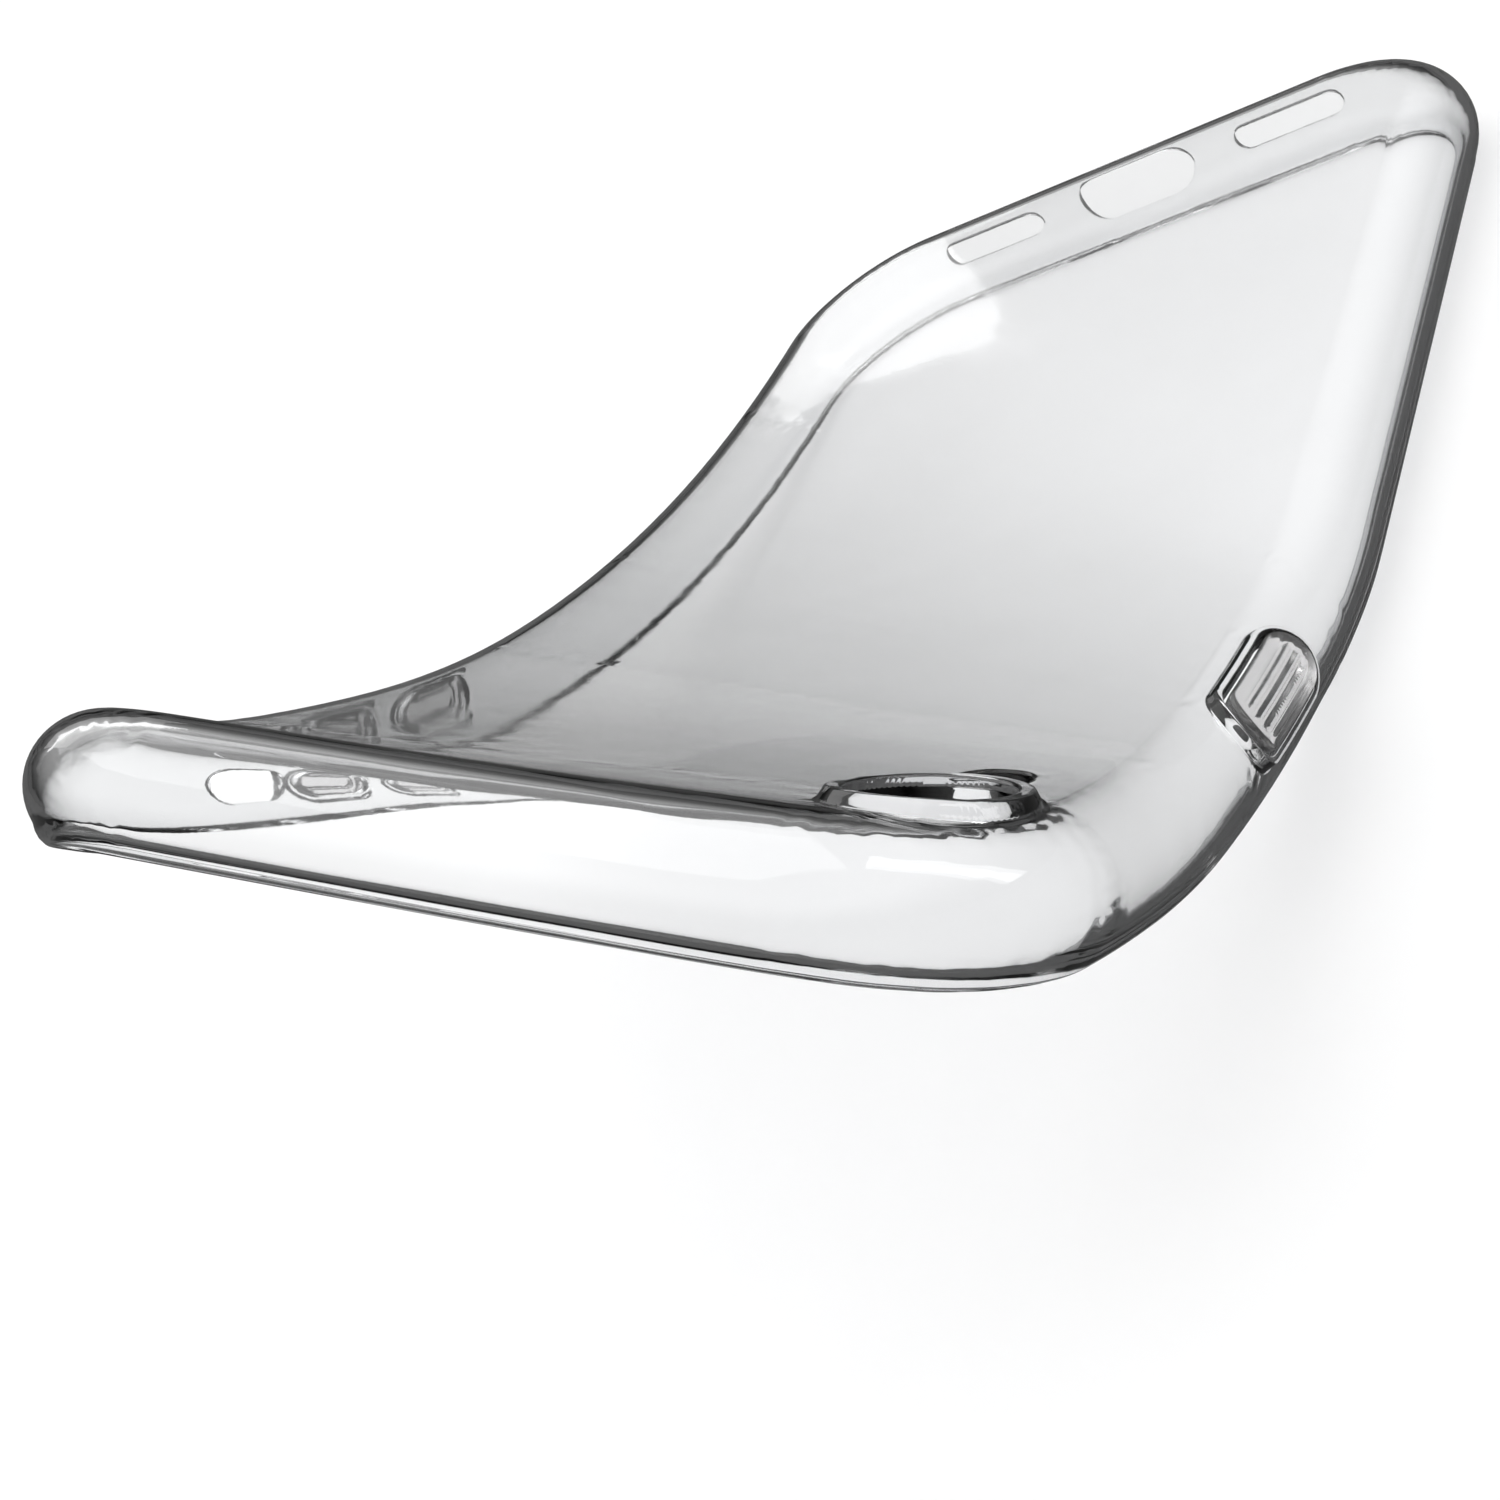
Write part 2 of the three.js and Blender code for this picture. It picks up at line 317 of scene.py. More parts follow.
class Slot:
    """A round or round-ended opening in the plan."""

    def __init__(self, centre, length, width, along):
        self.centre = np.array(centre, float)
        self.half = np.array(along, float) * (length - width) / 2
        self.radius = width / 2

    def distance(self, points):
        """How far each point is outside the slot's edge."""
        arm = points - self.centre
        size = self.half @ self.half
        share = np.clip(arm @ self.half / size, -1, 1) if size > 0 else np.zeros(len(points))
        return np.linalg.norm(arm - share[:, None] * self.half, axis=1) - self.radius

    def loop(self, offset):
        """The slot's edge, offset outward, as points once round."""
        radius = self.radius + offset
        turns = max(10, int(math.pi * radius / LOOP_STEP))
        length = 2 * np.linalg.norm(self.half)
        runs = max(1, int(length / LOOP_STEP)) if length > 0 else 0
        start = math.atan2(self.half[1], self.half[0]) - math.pi / 2
        points = []
        for end in (1, -1):
            middle = self.centre + end * self.half
            angles = start + (0 if end > 0 else math.pi) + np.linspace(0, math.pi, turns + 1)
            arc = middle + radius * np.stack([np.cos(angles), np.sin(angles)], axis=1)
            points.extend(arc if length > 0 else arc[:-1])
            for i in range(1, runs):
                points.append(arc[-1] - end * 2 * self.half * i / runs)
        return np.array(points)


class FlashSlot(Slot):
    """The opening beside the collar, whose near side follows the collar's curve."""

    def distance(self, points):
        near = FLASH_SIDE - np.linalg.norm(points - LENS, axis=1)
        return np.maximum(super().distance(points), near)

    def loop(self, offset):
        points = super().loop(offset)
        arm = points - LENS
        reach = np.linalg.norm(arm, axis=1)
        least = FLASH_SIDE - offset
        return LENS + arm * (np.maximum(reach, least) / reach)[:, None]


def side_slot(side, y, length, width, tilt=0.0):
    """A slot on a side wall: tilt is how many degrees up from the wall's middle it sits."""
    out = LINE_X + ROLL_RADIUS * math.radians(90 - tilt)
    return Slot((side * out, y), length, width, (0, 1))


def port_slot(x, length, width):
    """A slot along the port end's wall."""
    return Slot((x, LINE_Y + ROLL_RADIUS * math.pi / 2), length, width, (1, 0))


BUTTONS = {
    "side_button": side_slot(1, *SIDE_BUTTON, SIDE_BUTTON_TILT),
    "volume_down": side_slot(-1, *VOLUME_DOWN),
    "volume_up": side_slot(-1, *VOLUME_UP),
}
COLLAR_HOLE = Slot(LENS, 2 * COLLAR_INNER, 2 * COLLAR_INNER, (1, 0))
PLAIN_OPENINGS = [
    FlashSlot(FLASH, FLASH_LENGTH, FLASH_WIDTH, (0, 1)),
    side_slot(-1, *MUTE),
    port_slot(*PORT),
    *(port_slot(*speaker) for speaker in SPEAKERS),
]


def openings():
    """Every opening, how far its edge stands back for the rim, and the rings of points round it."""
    found = [(slot, RIM_FILLET + PAD_GAP, FRAME_RINGS) for slot in BUTTONS.values()]
    found += [(slot, RIM_FILLET, OPENING_RINGS) for slot in PLAIN_OPENINGS]
    return [*found, (COLLAR_HOLE, RIM_FILLET, COLLAR_RINGS)]


def outside_height(points):
    """Height of the outside face above the inside face."""
    distance, _ = border(points)
    height = WALL + BEAD_HEIGHT * smooth((distance - ROLL_WIDTH + BEAD_WIDTH) / BEAD_SLOPE)
    for slot in BUTTONS.values():
        past = slot.distance(points) - PAD_GAP
        height += FRAME_HEIGHT * (1 - smooth((past - FRAME_WIDTH + FRAME_SHOULDER) / FRAME_SLOPE))
    past = np.linalg.norm(points - LENS, axis=1)
    crown = 1 - smooth((past - COLLAR_OUTER + COLLAR_SHOULDER) / COLLAR_SLOPE)
    return height + COLLAR_HEIGHT * crown


def inside_height(points):
    """The heights are counted from the inside face."""
    return np.zeros(len(points))


# ---- Meshing a plan -----------------------------------------------------------------------------

def split_value(points, split):
    """Positive on the port side of a split line, over the rolled surface's real places."""
    left, right = split
    place = rolled(points, np.full(len(points), WALL / 2))
    share = (place[:, 0] + CREASE_HALF_SPAN) / (2 * CREASE_HALF_SPAN)
    return place[:, 1] - (left + (right - left) * share)


def split_points(split):
    """The plan's points along a split line, from one edge of the border to the other."""
    left, right = split
    ends = {-1: [], 1: []}
    for offset in row_offsets():
        ring = outline(offset, SEAM_STEP)
        value = split_value(ring, split)
        after = np.roll(value, -1)
        for i in np.nonzero(value * after < 0)[0]:
            share = value[i] / (value[i] - after[i])
            point = ring[i] + share * (ring[(i + 1) % len(ring)] - ring[i])
            ends[1 if point[0] > 0 else -1].append(point)
    xs = np.arange(-LINE_X + PANEL_STEP, LINE_X - 0.5 * PANEL_STEP, PANEL_STEP)
    slope = (right - left) / (2 * CREASE_HALF_SPAN)
    middle = np.stack([xs, (left + right) / 2 + xs * slope], axis=1)
    middle = middle[border(middle)[0] < -SEAM_STAND_OFF]
    return np.vstack([ends[-1][::-1], middle, ends[1]])


def row_offsets():
    """Distances outside the centre line of the border's rows of mesh points."""
    count = round(ROLL_WIDTH / ROW_STEP)
    return [ROLL_WIDTH * i / count for i in range(count + 1)]


def joined_up(start, count, closed=True):
    """The edges from each of count points to the next."""
    last = count if closed else count - 1
    return [(start + i, start + (i + 1) % count) for i in range(last)]


def open_field():
    """The plan's rows and grid of mesh points, before anything is kept clear."""
    rows = [outline(offset, SIDE_STEP) for offset in (*INNER_ROWS, *row_offsets())]
    xs = np.arange(-LINE_X, LINE_X, PANEL_STEP) + PANEL_STEP / 2
    ys = np.arange(-LINE_Y, LINE_Y, PANEL_STEP) + PANEL_STEP / 2
    grid = np.stack(np.meshgrid(xs, ys), axis=-1).reshape(-1, 2)
    return np.vstack([*rows, grid[border(grid)[0] < INNER_ROWS[0] - CLEARANCE]])


def seam_line(split):
    """A split line's points, with room left round the collar and the openings."""
    line = split_points(split)
    line = line[np.linalg.norm(line - LENS, axis=1) > COLLAR_CUT + CLEARANCE]
    for slot, stand, steps in openings():
        line = line[slot.distance(line) > stand + steps[-1] + CLEARANCE / 2]
    return line


def case_plan():
    """Every mesh point of the plan and the edges that the mesh has to keep."""
    base = open_field()
    loops, rings = [], []
    for slot, stand, steps in openings():
        loops.append(slot.loop(stand))
        rings.extend(slot.loop(stand + step) for step in steps)
        base = base[slot.distance(base) > stand + steps[-1] + CLEARANCE]
    loops.append(Slot(LENS, 2 * COLLAR_CUT, 2 * COLLAR_CUT, (1, 0)).loop(0))
    base = base[np.linalg.norm(base - LENS, axis=1) > COLLAR_CUT + CLEARANCE]
    lines = [seam_line(split) for split in SPLITS]
    for point in np.vstack(lines):
        base = base[np.linalg.norm(base - point, axis=1) > CLEARANCE]
    points = [base, *rings]
    edges = []
    start = sum(len(p) for p in points)
    for loop in loops:
        edges += joined_up(start, len(loop))
        points.append(loop)
        start += len(loop)
    for line in lines:
        gaps = np.linalg.norm(np.diff(line, axis=0), axis=1)
        steps = joined_up(start, len(line), closed=False)
        edges += [edge for edge, gap in zip(steps, gaps) if gap < 3 * PANEL_STEP]
        points.append(line)
        start += len(line)
    return np.vstack(points), edges


def triangles(points, edges):
    """Joins plan points into triangles that keep the given edges."""
    verts, _, faces, *_ = delaunay_2d_cdt([Vector(p) for p in points], edges, [], 0, 1e-5)
    verts = np.array(verts, float)
    faces = np.array(faces, int)
    a, b, c = verts[faces[:, 0]], verts[faces[:, 1]], verts[faces[:, 2]]
    area = (b[:, 0] - a[:, 0]) * (c[:, 1] - a[:, 1]) - (b[:, 1] - a[:, 1]) * (c[:, 0] - a[:, 0])
    faces = np.where((area < 0)[:, None], faces[:, ::-1], faces)
    return verts, faces[np.abs(area) > 1e-6]


def edge_owner(faces):
    """Which face has each directed edge."""
    return {
        (int(face[i]), int(face[(i + 1) % 3])): index
        for index, face in enumerate(faces)
        for i in range(3)
    }


def fillet_profile(depth):
    """A rim's profile: how far it stands into the opening, and its drop from the nearer face."""
    angles = np.linspace(0, math.pi / 2, 5)[1:]
    drops = [(depth * math.sin(a), depth * (1 - math.cos(a))) for a in angles]
    down = [(out, 0.0, -drop) for out, drop in drops]
    up = [(out, 1.0, drop) for out, drop in reversed(drops)]
    return down + up


def bead_profile(count=9):
    """A half-round rim's profile, as shares of the wall's thickness."""
    angles = np.linspace(0, math.pi, count + 1)[1:-1]
    return [(LIP_REACH * math.sin(a), (1 - math.cos(a)) / 2, 0.0) for a in angles]


class Sheet:
    """A closed solid over a meshed plan: an outside, an inside and the rims that join them."""

    def __init__(self, verts, faces, top, bottom, labels, rim):
        self.faces = faces
        self.labels = labels
        self.count = len(verts)
        high, low = top(verts), bottom(verts)
        self.flat = [rolled(verts, high), rolled(verts, low)]
        self.quads = []
        self.caps = []
        self.add_rims(verts, high, low, rim)
        self.add_seams()
        self.flat = np.vstack(self.flat)

    def add_rims(self, verts, high, low, rim):
        """Rounded faces along every open edge of the plan, from the outside to the inside."""
        owner = edge_owner(self.faces)
        edges = [(a, b) for a, b in owner if (b, a) not in owner]
        outward = np.zeros_like(verts)
        for a, b in edges:
            run = verts[b] - verts[a]
            side = np.array([run[1], -run[0]]) / max(np.linalg.norm(run), 1e-9)
            outward[a] += side
            outward[b] += side
        ends = sorted({a for a, _ in edges} | {b for _, b in edges})
        place = {v: i for i, v in enumerate(ends)}
        away = outward[ends]
        away /= np.maximum(np.linalg.norm(away, axis=1), 1e-9)[:, None]
        profile = rim(verts[ends])
        start = 2 * self.count
        rings = []
        for k in range(profile.shape[1]):
            out, share, drop = profile[:, k, 0], profile[:, k, 1], profile[:, k, 2]
            height = high[ends] + (low[ends] - high[ends]) * share + drop
            self.flat.append(rolled(verts[ends] + away * out[:, None], height))
            rings.append(start)
            start += len(ends)
        column = {v: [v, *(ring + place[v] for ring in rings), self.count + v] for v in ends}
        for a, b in edges:
            label = self.labels[owner[a, b]]
            for k in range(len(rings) + 1):
                quad = (column[b][k], column[a][k], column[a][k + 1], column[b][k + 1])
                self.quads.append((label, quad))
        self.close_rims(edges, owner, column)

    def close_rims(self, edges, owner, column):
        """Faces across a rim where one piece's rim ends and the next one's starts."""
        into = {b: self.labels[owner[a, b]] for a, b in edges}
        for a, b in edges:
            label = self.labels[owner[a, b]]
            if into[a] != label:
                self.caps.append((label, tuple(reversed(column[a]))))
                self.caps.append((into[a], tuple(column[a])))

    def add_seams(self):
        """Faces between the outside and the inside along the edges where two pieces meet."""
        owner = edge_owner(self.faces)
        for (a, b), face in owner.items():
            other = owner.get((b, a))
            if other is not None and self.labels[other] != self.labels[face]:
                seam = (b, a, self.count + a, self.count + b)
                self.caps.append((self.labels[face], seam))

    def normals(self, places):
        """Smooth normals over the whole moulding, so that no seam shows between its pieces."""
        tris = np.vstack([self.faces, self.faces[:, ::-1] + self.count])
        quads = np.array([quad for _, quad in self.quads])
        corners = np.vstack([tris, quads[:, [0, 1, 2]], quads[:, [0, 2, 3]]])
        a, b, c = (places[corners[:, i]] for i in range(3))
        face = np.cross(b - a, c - a)
        total = np.zeros_like(places)
        for i in range(3):
            np.add.at(total, corners[:, i], face)
        return total / np.maximum(np.linalg.norm(total, axis=1), 1e-20)[:, None]

    def piece(self, name, label, places, normals, materials):
        """One piece of the sheet as a Blender object, its seams in the second material."""
        own = self.faces[self.labels == label]
        skin = [tuple(face) for face in np.vstack([own, own[:, ::-1] + self.count])]
        skin += [quad for at, quad in self.quads if at == label]
        seams = [face for at, face in self.caps if at == label]
        used = sorted({int(v) for face in skin + seams for v in face})
        index = {v: i for i, v in enumerate(used)}
        mesh = bpy.data.meshes.new(name)
        faces = [[index[int(v)] for v in face] for face in skin + seams]
        mesh.from_pydata(places[used].tolist(), [], faces)
        mesh.polygons.foreach_set("use_smooth", [True] * len(faces))
        mesh.polygons.foreach_set("material_index", [0] * len(skin) + [1] * len(seams))
        for material in materials[: 2 if seams else 1]:
            mesh.materials.append(material)
        mesh.normals_split_custom_set_from_vertices(normals[used].tolist())
        mesh.update()
        piece = bpy.data.objects.new(name, mesh)
        bpy.context.scene.collection.objects.link(piece)
        return piece


# ---- The moulding -------------------------------------------------------------------------------

COLLAR_LABEL = len(SPLITS) + 1


def case_labels(centres):
    """Which piece each triangle belongs to: a shell piece by number, or the collar."""
    labels = np.zeros(len(centres), int)
    for split in SPLITS:
        labels += split_value(centres, split) < 0
    labels[np.linalg.norm(centres - LENS, axis=1) < COLLAR_CUT] = COLLAR_LABEL
    return labels


def case_rims(points):
    """The rim's profile at each edge point: a round bead on the lip, small fillets at openings."""
    lip = border(points)[0] > ROLL_WIDTH - 0.1
    bead = np.array(bead_profile())
    fillet = np.array(fillet_profile(RIM_FILLET))
    return np.where(lip[:, None, None], bead[None], fillet[None])


def build_case(materials):
    """The five shells and the collar, cut from one bent sheet."""
    verts, faces = triangles(*case_plan())
    centres = verts[faces].mean(axis=1)
    keep = np.ones(len(faces), bool)
    for slot, stand, _ in openings():
        keep &= slot.distance(centres) > stand
    faces, centres = faces[keep], centres[keep]
    sheet = Sheet(verts, faces, outside_height, inside_height, case_labels(centres), case_rims)
    places = bent(sheet.flat)
    normals = sheet.normals(places)
    clear = (materials["clear_tpu"], materials["seam"])
    # The collar's darker copy of the plastic, whose extra darkness is painted shade.
    dense = (materials["collar_tpu"], materials["seam"])
    shells = [
        sheet.piece(f"case_shell_{k + 1}", k, places, normals, clear)
        for k in range(len(SPLITS) + 1)
    ]
    return shells, sheet.piece("camera_ring", COLLAR_LABEL, places, normals, dense)


def bend_between(piece):
    """Bakes a piece's placement into its mesh; its bend was already drawn into the mesh from the
    plan.
    """
    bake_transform(piece)


# ---- The button covers --------------------------------------------------------------------------

def cover_plan(slot):
    """Mesh points inside a cover's outline, and the outline."""
    depth = PAD_FILLET + PAD_RINGS[-1]
    rings = [slot.loop(-PAD_FILLET - step) for step in PAD_RINGS]
    inner = slot.radius - depth
    half = np.linalg.norm(slot.half)
    along = slot.half / half
    across = np.array([-along[1], along[0]])
    runs = np.arange(-half - inner, half + inner, PAD_STEP_ALONG)
    widths = np.arange(-inner, inner + 0.01, PAD_STEP_ACROSS)
    grid = np.array([slot.centre + r * along + w * across for r in runs for w in widths])
    grid = grid[slot.distance(grid) < -depth - CLEARANCE / 4]
    loop = slot.loop(-PAD_FILLET)
    start = sum(len(r) for r in rings) + len(grid)
    return np.vstack([*rings, grid, loop]), joined_up(start, len(loop))


def ribbed_top(slot):
    """A cover's outside with fine grip lines along it."""
    def height(points):
        inset = -slot.distance(points)
        along = slot.half / np.linalg.norm(slot.half)
        width = (points - slot.centre) @ np.array([-along[1], along[0]])
        ribs = RIB_DEPTH * (np.cos(2 * math.pi * width / RIB_PITCH) - 1) / 2
        return PAD_HEIGHT + ribs * smooth((inset - RIB_INSET) / RELIEF_SLOPE)
    return height


def grooved_top(slot):
    """A cover's outside with a raised pill inside a shallow groove."""
    def height(points):
        inset = -slot.distance(points)
        groove = GROOVE_DEPTH * np.exp(-((inset - GROOVE_INSET) / GROOVE_WIDTH) ** 2)
        pill = PILL_HEIGHT * smooth((inset - PILL_INSET) / RELIEF_SLOPE)
        return PAD_HEIGHT - PILL_SINK - groove + pill
    return height


def pad_inside(points):
    """A cover's inside face, just above the phone's side."""
    return np.full(len(points), PAD_INSIDE)


def pad_rims(points):
    """The rim's profile round a cover, the same at every edge point."""
    profile = np.array(fillet_profile(PAD_FILLET))
    return np.repeat(profile[None], len(points), axis=0)


def build_cover(name, slot, top, material):
    """One button's cover, as a closed pad inside its frame."""
    verts, faces = triangles(*cover_plan(slot))
    labels = np.zeros(len(faces), int)
    sheet = Sheet(verts, faces, top(slot), pad_inside, labels, pad_rims)
    places = bent(sheet.flat)
    return sheet.piece(name, 0, places, sheet.normals(places), (material,))


# ---- Materials ----------------------------------------------------------------------------------

def node(tree, kind, **values):
    """A new shader node, with its sockets and settings given by name."""
    made = tree.nodes.new(kind)
    for key, value in values.items():
        if isinstance(value, (int, float, tuple)) and key in made.inputs:
            made.inputs[key].default_value = value
        else:
            setattr(made, key, value)
    return made


def math_node(tree, operation, first, second, use_clamp=False):
    """A math node's result; first and second are numbers or other nodes' outputs."""
    made = node(tree, "ShaderNodeMath", operation=operation, use_clamp=use_clamp)
    for socket, value in zip(made.inputs, (first, second)):
        if isinstance(value, (int, float)):
            socket.default_value = value
        else:
            tree.links.new(value, socket)
    return made.outputs[0]


def remapped(tree, value, low, high, **settings):
    """A map-range node's result: value's range low is stretched to the range high."""
    made = node(tree, "ShaderNodeMapRange", **settings)
    names = ("From Min", "From Max", "To Min", "To Max")
    for name, number in zip(names, (*low, *high)):
        made.inputs[name].default_value = number
    tree.links.new(value, made.inputs["Value"])
    return made.outputs["Result"]


def mixed(tree, share, first, second):
    """A mix of two shaders' outputs."""
    made = node(tree, "ShaderNodeMixShader")
    for socket, value in zip(made.inputs, (share, first, second)):
        tree.links.new(value, socket)
    return made.outputs[0]


def new_material(name):
    """An empty material and its node tree."""
    material = bpy.data.materials.new(name)
    material.use_nodes = True
    material.node_tree.nodes.clear()
    return material, material.node_tree


def finish_material(tree, surface):
    """Links a shader to the material's output."""
    out = node(tree, "ShaderNodeOutputMaterial")
    tree.links.new(surface, out.inputs["Surface"])


def share_soaked_up(tree, light, density):
    """How much light the plastic takes up along a ray inside it, by the ray's length in metres."""
    depth = math_node(tree, "MULTIPLY", light.outputs["Ray Length"], -density)
    left = math_node(tree, "EXPONENT", depth, 0.0)
    taken = math_node(tree, "SUBTRACT", 1.0, left)
    inside = node(tree, "ShaderNodeNewGeometry").outputs["Backfacing"]
    return math_node(tree, "MULTIPLY", taken, inside)


def drifting_tint(tree, place, shade, tint):
    """A colour that drifts between two near tints."""
    drift = node(tree, "ShaderNodeTexNoise", Scale=38.0, Detail=3.0)
    tree.links.new(place, drift.inputs["Vector"])
    colour = node(tree, "ShaderNodeValToRGB")
    for element, position, value in zip(colour.color_ramp.elements, (0.35, 0.65), (shade, tint)):
        element.position = position
        element.color = (*value, 1)
    tree.links.new(drift.outputs["Fac"], colour.inputs["Fac"])
    return colour.outputs["Color"]


def smudged_gloss(tree, place, rough):
    """A roughness that varies as on a handled surface."""
    smudge = node(tree, "ShaderNodeTexNoise", Scale=95.0, Detail=6.0, Roughness=0.62, Distortion=0.6)
    tree.links.new(place, smudge.inputs["Vector"])
    return remapped(tree, smudge.outputs["Fac"], (0.38, 0.72), rough)


def moulded_surface(tree, place, wave, grain):
    """A normal with the mould's broad waves and a fine grain on them, each by its depth in metres."""
    normal = None
    for scale, detail, depth in ((70.0, 1.0, wave), (2600.0, 2.0, grain)):
        noise = node(tree, "ShaderNodeTexNoise", Scale=scale, Detail=detail)
        tree.links.new(place, noise.inputs["Vector"])
        bump = node(tree, "ShaderNodeBump", Strength=1.0, Distance=depth)
        tree.links.new(noise.outputs["Fac"], bump.inputs["Height"])
        if normal is not None:
            tree.links.new(normal, bump.inputs["Normal"])
        normal = bump.outputs["Normal"]
    return normal


def clear_plastic(name, tint, shade, rough, wave, grain, density):
    """Clear moulded TPU: a faint tint that drifts, smudged gloss, mould waviness and fine grain."""
    material, tree = new_material(name)
    place = node(tree, "ShaderNodeTexCoord").outputs["Object"]
    glass = node(tree, "ShaderNodeBsdfPrincipled", IOR=1.5)
    glass.inputs["Transmission Weight"].default_value = 1.0
    tree.links.new(drifting_tint(tree, place, shade, tint), glass.inputs["Base Color"])
    tree.links.new(smudged_gloss(tree, place, rough), glass.inputs["Roughness"])
    tree.links.new(moulded_surface(tree, place, wave, grain), glass.inputs["Normal"])
    light = node(tree, "ShaderNodeLightPath")
    black = node(tree, "ShaderNodeBsdfDiffuse", Color=(0, 0, 0, 1))
    soaked = share_soaked_up(tree, light, density)
    plastic = mixed(tree, soaked, glass.outputs[0], black.outputs[0])
    passing = node(tree, "ShaderNodeBsdfTransparent", Color=SHADOW_TINT)
    finish_material(tree, mixed(tree, light.outputs["Is Shadow Ray"], plastic, passing.outputs[0]))
    return material


def clear_tpu():
    """The moulding."""
    tint, shade = (0.985, 0.99, 0.995), (0.965, 0.97, 0.975)
    return clear_plastic("clear_tpu", tint, shade, (0.01, 0.05), 3e-5, 6e-7, 30)


def collar_tpu():
    """The camera collar, a greyer copy of the case's plastic. Its real extra thickness darkens it,
    and its soak-up density, raised far above the case's, is painted shade that stands in for the dark
    reflections in its inner wall.
    """
    tint, shade = (0.96, 0.965, 0.975), (0.93, 0.935, 0.945)
    # Soak-up density 110 against the case's 30: painted shade for the collar's dark inner wall.
    return clear_plastic("collar_tpu", tint, shade, (0.0, 0.03), 4e-5, 4e-7, 110)


def cover_tpu():
    """The button covers, greyer and less glossy."""
    tint, shade = (0.9, 0.895, 0.895), (0.84, 0.835, 0.84)
    return clear_plastic("cover_tpu", tint, shade, (0.08, 0.22), 6e-5, 3e-6, 60)


def seam():
    """Where two pieces of the moulding meet inside the plastic, nothing shows."""
    material, tree = new_material("seam")
    clear = node(tree, "ShaderNodeBsdfTransparent", Color=(1, 1, 1, 1))
    finish_material(tree, clear.outputs[0])
    return material


def share_painted_dark(tree, place):
    """Where the floor is painted dark for the plastic alone: far from the case, and in all its
    reflections. The camera sees it pale everywhere.
    """
    away = node(tree, "ShaderNodeVectorMath", operation="LENGTH")
    tree.links.new(place, away.inputs[0])
    far = remapped(tree, away.outputs["Value"], BRIGHT_FIELD, (0.0, 1.0),
                   interpolation_type="SMOOTHSTEP")
    light = node(tree, "ShaderNodeLightPath")
    painted_dark = math_node(tree, "MAXIMUM", light.outputs["Glossy Depth"], far)
    unseen = math_node(tree, "SUBTRACT", 1.0, light.outputs["Is Camera Ray"])
    return math_node(tree, "MULTIPLY", painted_dark, unseen, use_clamp=True)


def floor_material():
    """A plain pale floor to the camera. The plastic sees only the part of it near the case as bright:
    the rest, and the floor in all its reflections, is painted dark for the plastic alone in place of
    a studio's black flags, and that painted shade is what draws its edges dark."""
    material, tree = new_material("floor")
    place = node(tree, "ShaderNodeTexCoord").outputs["Object"]
    noise = node(tree, "ShaderNodeTexNoise", Scale=4.0, Detail=2.0)
    tree.links.new(place, noise.inputs["Vector"])
    ramp = node(tree, "ShaderNodeValToRGB")
    for element, value in zip(ramp.color_ramp.elements, FLOOR_TONES):
        element.color = (value, value, value, 1)
    tree.links.new(noise.outputs["Fac"], ramp.inputs["Fac"])
    pale = node(tree, "ShaderNodeBsdfDiffuse")
    tree.links.new(ramp.outputs["Color"], pale.inputs["Color"])
    # Painted shade: the dark floor that only the plastic sees, far off and in its reflections.
    dark = node(tree, "ShaderNodeBsdfDiffuse", Color=PAINTED_DARK_REFLECTION_COLOUR)
    finish_material(tree, mixed(tree, share_painted_dark(tree, place), pale.outputs[0], dark.outputs[0]))
    return material


# ---- Studio -------------------------------------------------------------------------------------

CAMERA_PLACE = Vector((0.1193, -0.2291, 0.10525))
CAMERA_AIM = Vector((-0.5633, 0.6979, -0.4426))
CAMERA_UP = Vector((0.2402, 0.6507, 0.7204))
CAMERA_LENS = 68.0


def make_camera():
    """The camera, off the case's lens corner and above it."""
    data = bpy.data.cameras.new("camera")
    data.sensor_width = 36
    data.lens = CAMERA_LENS
    data.clip_start = 0.01
    data.clip_end = 20
    camera = bpy.data.objects.new("camera", data)
    bpy.context.scene.collection.objects.link(camera)
    back = -CAMERA_AIM.normalized()
    right = CAMERA_UP.cross(back).normalized()
    up = back.cross(right)
    turned = Matrix((right, up, back)).transposed().to_4x4()
    camera.matrix_world = Matrix.Translation(CAMERA_PLACE) @ turned
    bpy.context.scene.camera = camera


def make_floor():
    """The floor's plane, which isn't part of the object."""
    mesh = bpy.data.meshes.new("floor")
    x = y = FLOOR_SIZE / 2
    mesh.from_pydata([(-x, -y, 0), (x, -y, 0), (x, y, 0), (-x, y, 0)], [], [(0, 1, 2, 3)])
    mesh.materials.append(floor_material())
    floor = bpy.data.objects.new("floor", mesh)
    floor.location.z = FLOOR_Z * MM
    bpy.context.scene.collection.objects.link(floor)


def softbox(name, place, target, width, height, power):
    """A rectangular lamp that faces a target."""
    data = bpy.data.lights.new(name, "AREA")
    data.shape = "RECTANGLE"
    data.size = width
    data.size_y = height
    data.energy = power
    light = bpy.data.objects.new(name, data)
    light.location = place
    light.rotation_mode = "QUATERNION"
    light.rotation_quaternion = (Vector(target) - Vector(place)).to_track_quat("-Z", "Y")
    bpy.context.scene.collection.objects.link(light)


def world_tones(tree):
    """The surroundings' grey, which goes by the height of the direction."""
    place = node(tree, "ShaderNodeTexCoord").outputs["Generated"]
    split = node(tree, "ShaderNodeSeparateXYZ")
    tree.links.new(place, split.inputs[0])
    ramp = node(tree, "ShaderNodeValToRGB")
    elements = ramp.color_ramp.elements
    for _ in range(len(SURROUNDINGS) - 2):
        elements.new(0.5)
    for element, (position, value) in zip(elements, SURROUNDINGS):
        element.position = position
        element.color = (value, value, value, 1)
    tree.links.new(split.outputs["Z"], ramp.inputs["Fac"])
    return ramp.outputs["Color"]


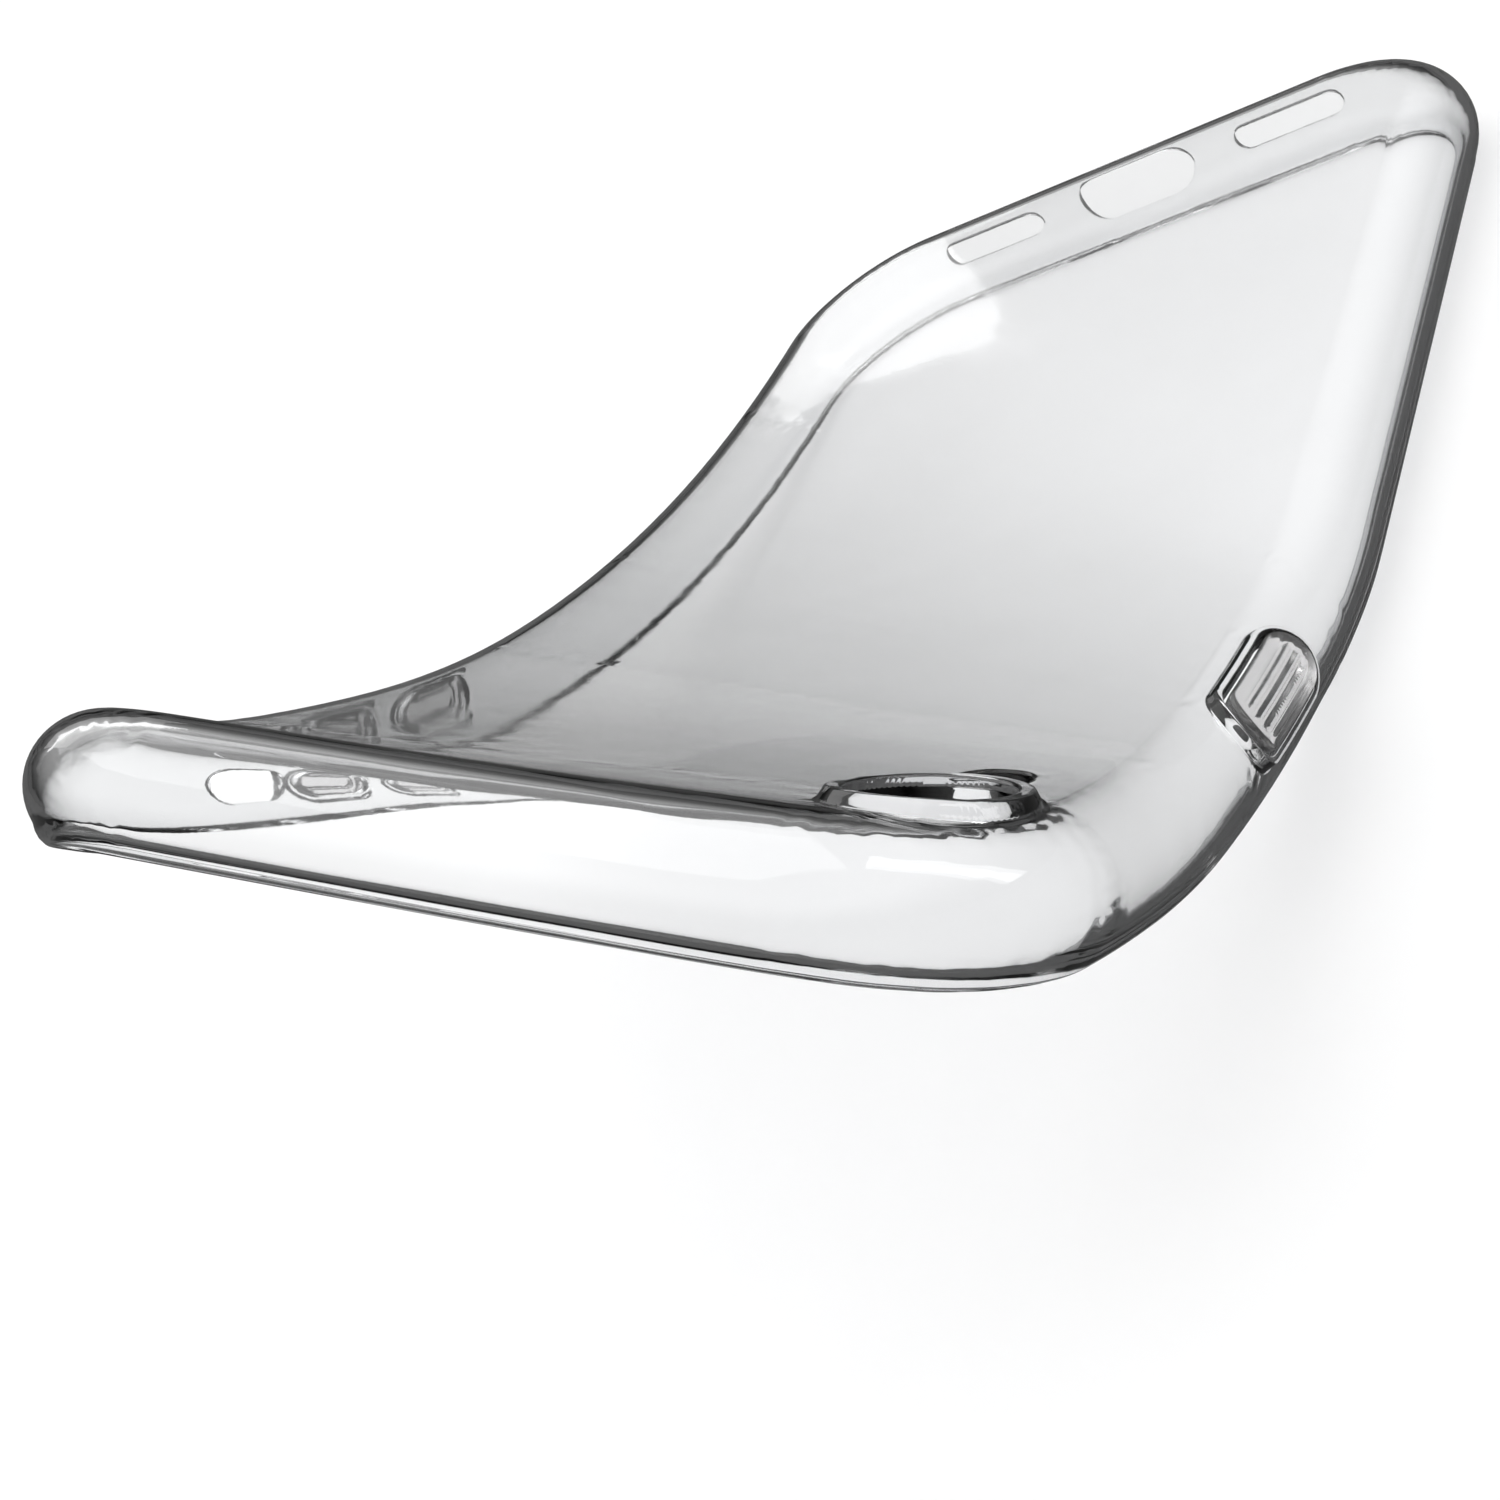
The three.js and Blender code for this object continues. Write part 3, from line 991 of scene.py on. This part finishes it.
def make_world():
    """A white studio to the camera, and to the plastic a bright ceiling above dark surroundings."""
    world = bpy.data.worlds.new("studio")
    bpy.context.scene.world = world
    world.use_nodes = True
    tree = world.node_tree
    tree.nodes.clear()
    seen = node(tree, "ShaderNodeBackground", Color=(1, 1, 1, 1), Strength=1.0)
    around = node(tree, "ShaderNodeBackground", Strength=1.0)
    tree.links.new(world_tones(tree), around.inputs["Color"])
    is_camera = node(tree, "ShaderNodeLightPath").outputs["Is Camera Ray"]
    out = node(tree, "ShaderNodeOutputWorld")
    mix = mixed(tree, is_camera, around.outputs[0], seen.outputs[0])
    tree.links.new(mix, out.inputs["Surface"])


def make_studio():
    """The floor, the lamps and how light is traced."""
    make_floor()
    middle = (0, -0.04, 0.01)
    softbox("overhead", (-0.1, 0.1, 1.1), middle, 1.2, 1.2, 3.5)
    softbox("side_strip", (0.9, 0.25, 0.5), middle, 0.25, 1.0, 2)
    softbox("back_fill", (-0.8, 0.7, 0.6), middle, 0.8, 0.5, 1)
    scene = bpy.context.scene
    scene.view_settings.view_transform = "Standard"
    scene.cycles.max_bounces = 20
    scene.cycles.transmission_bounces = 20
    scene.cycles.glossy_bounces = 10
    scene.cycles.transparent_max_bounces = 24


# ---- Putting it together ------------------------------------------------------------------------

# The CAD nodes that each shell stands for, from the port end.
STANDS_FOR = [
    ("back_panel_0", "power_wall_0",
     "port_end_wall", "port_end_corner_power", "port_end_corner_volume"),
    ("back_panel_1", "power_wall_1", "volume_wall_1"),
    ("back_panel_2", "power_wall_2", "volume_wall_2"),
    ("back_panel_3", "power_wall_3", "volume_wall_3"),
    ("back_panel_4", "power_wall_4", "volume_wall_4", "back_panel_5",
     "camera_end_wall", "camera_end_corner_power", "camera_end_corner_volume"),
]
TOPS = {"side_button": ribbed_top, "volume_down": grooved_top, "volume_up": grooved_top}

make_camera()
make_world()
make_studio()
looks = {make.__name__: make() for make in (clear_tpu, collar_tpu, cover_tpu, seam)}

shells, ring = build_case(looks)
for number, (shell, nodes) in enumerate(zip(shells, STANDS_FOR), start=1):
    bend_between(shell)
    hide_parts(*nodes)
bend_between(ring)
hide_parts("camera_collar")

for name, slot in BUTTONS.items():
    cover = build_cover(f"{name}_pad", slot, TOPS[name], looks["cover_tpu"])
    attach(cover, name)
    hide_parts(f"{name}_cover")
